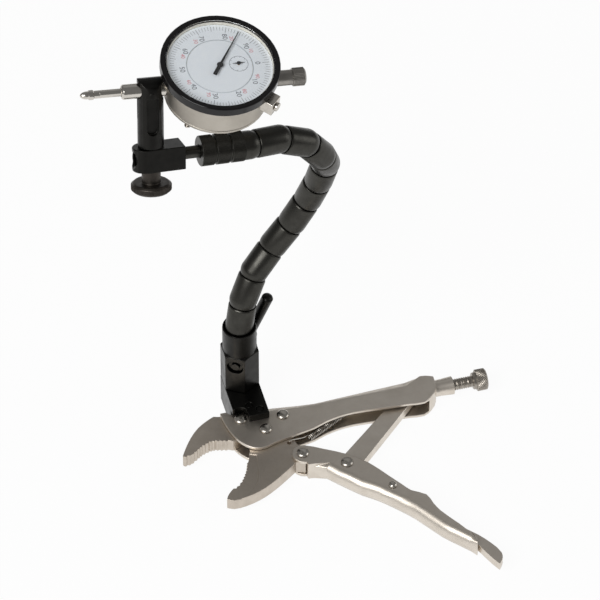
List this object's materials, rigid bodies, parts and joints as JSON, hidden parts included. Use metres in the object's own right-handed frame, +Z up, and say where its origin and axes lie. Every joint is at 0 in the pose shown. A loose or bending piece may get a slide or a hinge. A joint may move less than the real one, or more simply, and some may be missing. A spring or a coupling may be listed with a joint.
{
  "type": "measuring stand",
  "caption": "Dial indicator on a ball-jointed arm that a cam lever locks, carried by locking pliers that lie flat or clamp to a workpiece.",
  "frame": {"origin": "on the flat foot of the bracket, under the axis of the hexagon housing", "axes": "+Z is up, along the housing and normal to the pliers' cheeks; +X runs along the upper handle towards the adjusting screw; +Y points away from the handles, to the bracket's side"},
  "size_m": [0.2163, 0.1809, 0.2765],
  "materials": {
    "pliers_nickel": "satin nickel plate",
    "rivet_steel": "bright turned steel",
    "screw_steel": "bright turned steel",
    "spring_steel": "bright turned steel",
    "bracket_black": "black oxide, satin",
    "housing_black": "black oxide, satin",
    "cam_black": "black oxide, satin",
    "link_black": "black oxide, satin",
    "holder_black": "black oxide, satin",
    "plunger_steel": "bright turned steel",
    "cable_steel": "stranded wire",
    "case_satin": "satin",
    "indicator_steel": "bright turned steel",
    "bezel_black": "gloss black",
    "crystal_clear": "clear",
    "dial_white": "matt white",
    "train_brass": "satin",
    "hand_black": "matt black"
  },
  "bodies": {
    "pliers_body": {"upper_body": "pliers_nickel", "upper_jaw": "pliers_nickel", "fixed_jaw_rivet_1": "rivet_steel", "fixed_jaw_rivet_2": "rivet_steel", "jaw_pivot_rivet": "rivet_steel", "bracket": "bracket_black", "bracket_screw_1": "screw_steel", "bracket_screw_2": "screw_steel", "cam_housing": "housing_black", "tension_cable": "cable_steel", "return_spring": "spring_steel"},
    "lower_jaw": {"lower_jaw": "pliers_nickel", "handle_pivot_rivet": "rivet_steel"},
    "lower_handle": {"lower_handle": "pliers_nickel", "toggle_rivet": "rivet_steel", "release_rivet": "rivet_steel"},
    "toggle_link": {"toggle_link": "pliers_nickel"},
    "release_lever": {"release_lever": "pliers_nickel"},
    "adjusting_screw": {"adjusting_screw": "screw_steel"},
    "cam": {"cam_shaft": "cam_black", "cam_lever": "cam_black", "cam_set_screw": "screw_steel"},
    "cable_plunger": {"cable_plunger": "plunger_steel"},
    "arm_link_00": {"arm_link_00": "link_black"},
    "arm_link_01": {"arm_link_01": "link_black"},
    "arm_link_02": {"arm_link_02": "link_black"},
    "arm_link_03": {"arm_link_03": "link_black"},
    "arm_link_04": {"arm_link_04": "link_black"},
    "arm_link_05": {"arm_link_05": "link_black"},
    "arm_link_06": {"arm_link_06": "link_black"},
    "arm_link_07": {"arm_link_07": "link_black"},
    "arm_link_08": {"arm_link_08": "link_black"},
    "arm_link_09": {"arm_link_09": "link_black"},
    "arm_link_10": {"arm_link_10": "link_black"},
    "arm_end_fitting": {"arm_end_fitting": "link_black"},
    "swivel": {"swivel_rod": "holder_black", "clamp_block": "holder_black"},
    "indicator_post": {"indicator_post": "holder_black"},
    "clamp_knob": {"clamp_knob": "holder_black"},
    "indicator": {"case": "case_satin", "back_cover": "case_satin", "back_screw_1": "screw_steel", "back_screw_2": "screw_steel", "back_screw_3": "screw_steel", "stem": "indicator_steel", "cap": "case_satin", "movement_plate": "train_brass", "counter_plate": "dial_white", "bezel_clamp": "case_satin", "spindle_spring": "spring_steel"},
    "spindle": {"spindle": "indicator_steel", "contact_point": "indicator_steel"},
    "centre_hand": {"centre_arbor": "indicator_steel", "pointer": "hand_black"},
    "counter_hand": {"counter_gear": "train_brass", "revolution_hand": "hand_black"},
    "bezel": {"bezel": "bezel_black", "crystal": "crystal_clear", "dial_face": "dial_white"},
    "bezel_clamp_screw": {"bezel_clamp_screw": "screw_steel"}
  },
  "joints": [
    {"name": "jaw_hinge", "type": "hinge", "parent": "pliers_body", "child": "lower_jaw", "pos_m": [0.0055, -0.0345, 0.008], "axis": [0, 0, 1], "range_deg": [-28, 0], "deforming": ["return_spring"]},
    {"name": "handle_hinge", "type": "hinge", "parent": "lower_jaw", "child": "lower_handle", "pos_m": [0.0204, -0.0565, 0.008], "axis": [0, 0, 1], "range_deg": [0, 75.6]},
    {"name": "toggle_hinge", "type": "hinge", "parent": "lower_handle", "child": "toggle_link", "pos_m": [0.0418, -0.0692, 0.008], "axis": [0, 0, 1], "range_deg": [-64.4, 0]},
    {"name": "release_hinge", "type": "hinge", "parent": "lower_handle", "child": "release_lever", "pos_m": [0.0613, -0.0913, 0.008], "axis": [0, 0, 1], "range_deg": [0, 8]},
    {"name": "screw_slide", "type": "slide", "parent": "pliers_body", "child": "adjusting_screw", "axis": [1, 0, 0], "range_m": [0, 0.012]},
    {"name": "cam_hinge", "type": "hinge", "parent": "pliers_body", "child": "cam", "pos_m": [0, 0, 0.0381], "axis": [0.5, 0.866, 0], "range_deg": [-110, 0]},
    {"name": "plunger_slide", "type": "slide", "parent": "pliers_body", "child": "cable_plunger", "axis": [0, 0, 1], "range_m": [0, 0.002], "deforming": ["tension_cable"]},
    {"name": "ball_00", "type": "hinge", "parent": "pliers_body", "child": "arm_link_00", "pos_m": [0, 0, 0.062], "axis": [-0.6691, 0.7431, 0], "range_deg": [-24, 4], "deforming": ["tension_cable"]},
    {"name": "ball_01", "type": "hinge", "parent": "arm_link_00", "child": "arm_link_01", "pos_m": [0.00324, 0.00291, 0.07946], "axis": [-0.3775, 0.9222, -0.0839], "range_deg": [-25.47, 4], "deforming": ["tension_cable"]},
    {"name": "ball_02", "type": "hinge", "parent": "arm_link_01", "child": "arm_link_02", "pos_m": [0.01072, 0.00741, 0.09521], "axis": [-0.043, 0.9659, -0.2553], "range_deg": [-25.62, 4], "deforming": ["tension_cable"]},
    {"name": "ball_03", "type": "hinge", "parent": "arm_link_02", "child": "arm_link_03", "pos_m": [0.02232, 0.01141, 0.10837], "axis": [0.7468, -0.3867, -0.5411], "range_deg": [-21.32, 4], "deforming": ["tension_cable"]},
    {"name": "ball_04", "type": "hinge", "parent": "arm_link_03", "child": "arm_link_04", "pos_m": [0.03313, 0.01216, 0.12275], "axis": [0.3346, -0.9202, -0.2032], "range_deg": [-18.63, 4], "deforming": ["tension_cable"]},
    {"name": "ball_05", "type": "hinge", "parent": "arm_link_04", "child": "arm_link_05", "pos_m": [0.04185, 0.01186, 0.13849], "axis": [0.5839, -0.7383, -0.3377], "range_deg": [-28.4, 4], "deforming": ["tension_cable"]},
    {"name": "ball_06", "type": "hinge", "parent": "arm_link_05", "child": "arm_link_06", "pos_m": [0.04643, 0.00774, 0.15541], "axis": [0.3398, -0.8885, -0.3083], "range_deg": [-17.7, 4], "deforming": ["tension_cable"]},
    {"name": "ball_07", "type": "hinge", "parent": "arm_link_06", "child": "arm_link_07", "pos_m": [0.04878, 0.00269, 0.17253], "axis": [0.4574, -0.834, -0.3084], "range_deg": [-35.78, 4], "deforming": ["tension_cable"]},
    {"name": "ball_08", "type": "hinge", "parent": "arm_link_07", "child": "arm_link_08", "pos_m": [0.04401, -0.00556, 0.18779], "axis": [-0.5941, -0.615, -0.5184], "range_deg": [-31.56, 4], "deforming": ["tension_cable"]},
    {"name": "ball_09", "type": "hinge", "parent": "arm_link_08", "child": "arm_link_09", "pos_m": [0.03455, -0.00901, 0.20271], "axis": [0.0569, -0.9801, -0.1901], "range_deg": [-35.97, 4], "deforming": ["tension_cable"]},
    {"name": "ball_10", "type": "hinge", "parent": "arm_link_09", "child": "arm_link_10", "pos_m": [0.01935, -0.01169, 0.21198], "axis": [0.2541, -0.957, 0.1399], "range_deg": [-28.21, 4], "deforming": ["tension_cable"]},
    {"name": "ball_11", "type": "hinge", "parent": "arm_link_10", "child": "arm_end_fitting", "pos_m": [0.00227, -0.01563, 0.21603], "axis": [-0.0883, -0.5012, -0.8608], "range_deg": [-22.38, 4], "deforming": ["tension_cable"]},
    {"name": "rod_swivel", "type": "hinge", "parent": "arm_end_fitting", "child": "swivel", "pos_m": [-0.02452, -0.01657, 0.21932], "axis": [-0.9919, -0.0346, 0.1219], "range_deg": [-40, 40]},
    {"name": "post_turn", "type": "hinge", "parent": "swivel", "child": "indicator_post", "pos_m": [-0.05031, -0.01747, 0.22249], "axis": [0.0999, 0.3783, 0.9203], "range_deg": [-90, 90]},
    {"name": "knob_turn", "type": "hinge", "parent": "swivel", "child": "clamp_knob", "pos_m": [-0.05031, -0.01747, 0.22249], "axis": [0.0999, 0.3783, 0.9203], "continuous": true},
    {"name": "indicator_tilt", "type": "hinge", "parent": "indicator_post", "child": "indicator", "pos_m": [-0.04656, -0.00328, 0.257], "axis": [-0.995, 0.0461, 0.089], "range_deg": [-25, 60]},
    {"name": "spindle_slide", "type": "slide", "parent": "indicator", "child": "spindle", "axis": [0.995, -0.0461, -0.089], "range_m": [0, 0.01], "stiffness_N_per_m": 60, "springref_m": -0.01, "deforming": ["spindle_spring"]},
    {"name": "pointer_spin", "type": "hinge", "parent": "indicator", "child": "centre_hand", "pos_m": [-0.01154, -0.0049, 0.25387], "axis": [0.0818, -0.1398, 0.9868], "continuous": true},
    {"name": "counter_spin", "type": "hinge", "parent": "indicator", "child": "counter_hand", "pos_m": [-0.00157, -0.00477, 0.25306], "axis": [0.0818, -0.1398, 0.9868], "continuous": true},
    {"name": "bezel_turn", "type": "hinge", "parent": "indicator", "child": "bezel", "pos_m": [-0.01154, -0.0049, 0.25387], "axis": [0.0818, -0.1398, 0.9868], "continuous": true},
    {"name": "bezel_clamp_turn", "type": "hinge", "parent": "indicator", "child": "bezel_clamp_screw", "pos_m": [-0.0109, -0.006, 0.26157], "axis": [0.6882, -0.7083, -0.1574], "continuous": true}
  ],
  "couplings": [
    {"joint": "handle_hinge", "follows": "jaw_hinge", "ratio": -2.7},
    {"joint": "toggle_hinge", "follows": "jaw_hinge", "ratio": 2.3},
    {"joint": "cam_hinge", "follows": "plunger_slide", "rad_per_m": -961.54},
    {"joint": "pointer_spin", "follows": "spindle_slide", "rad_per_m": -6283.2},
    {"joint": "counter_spin", "follows": "spindle_slide", "rad_per_m": 628.32}
  ]
}
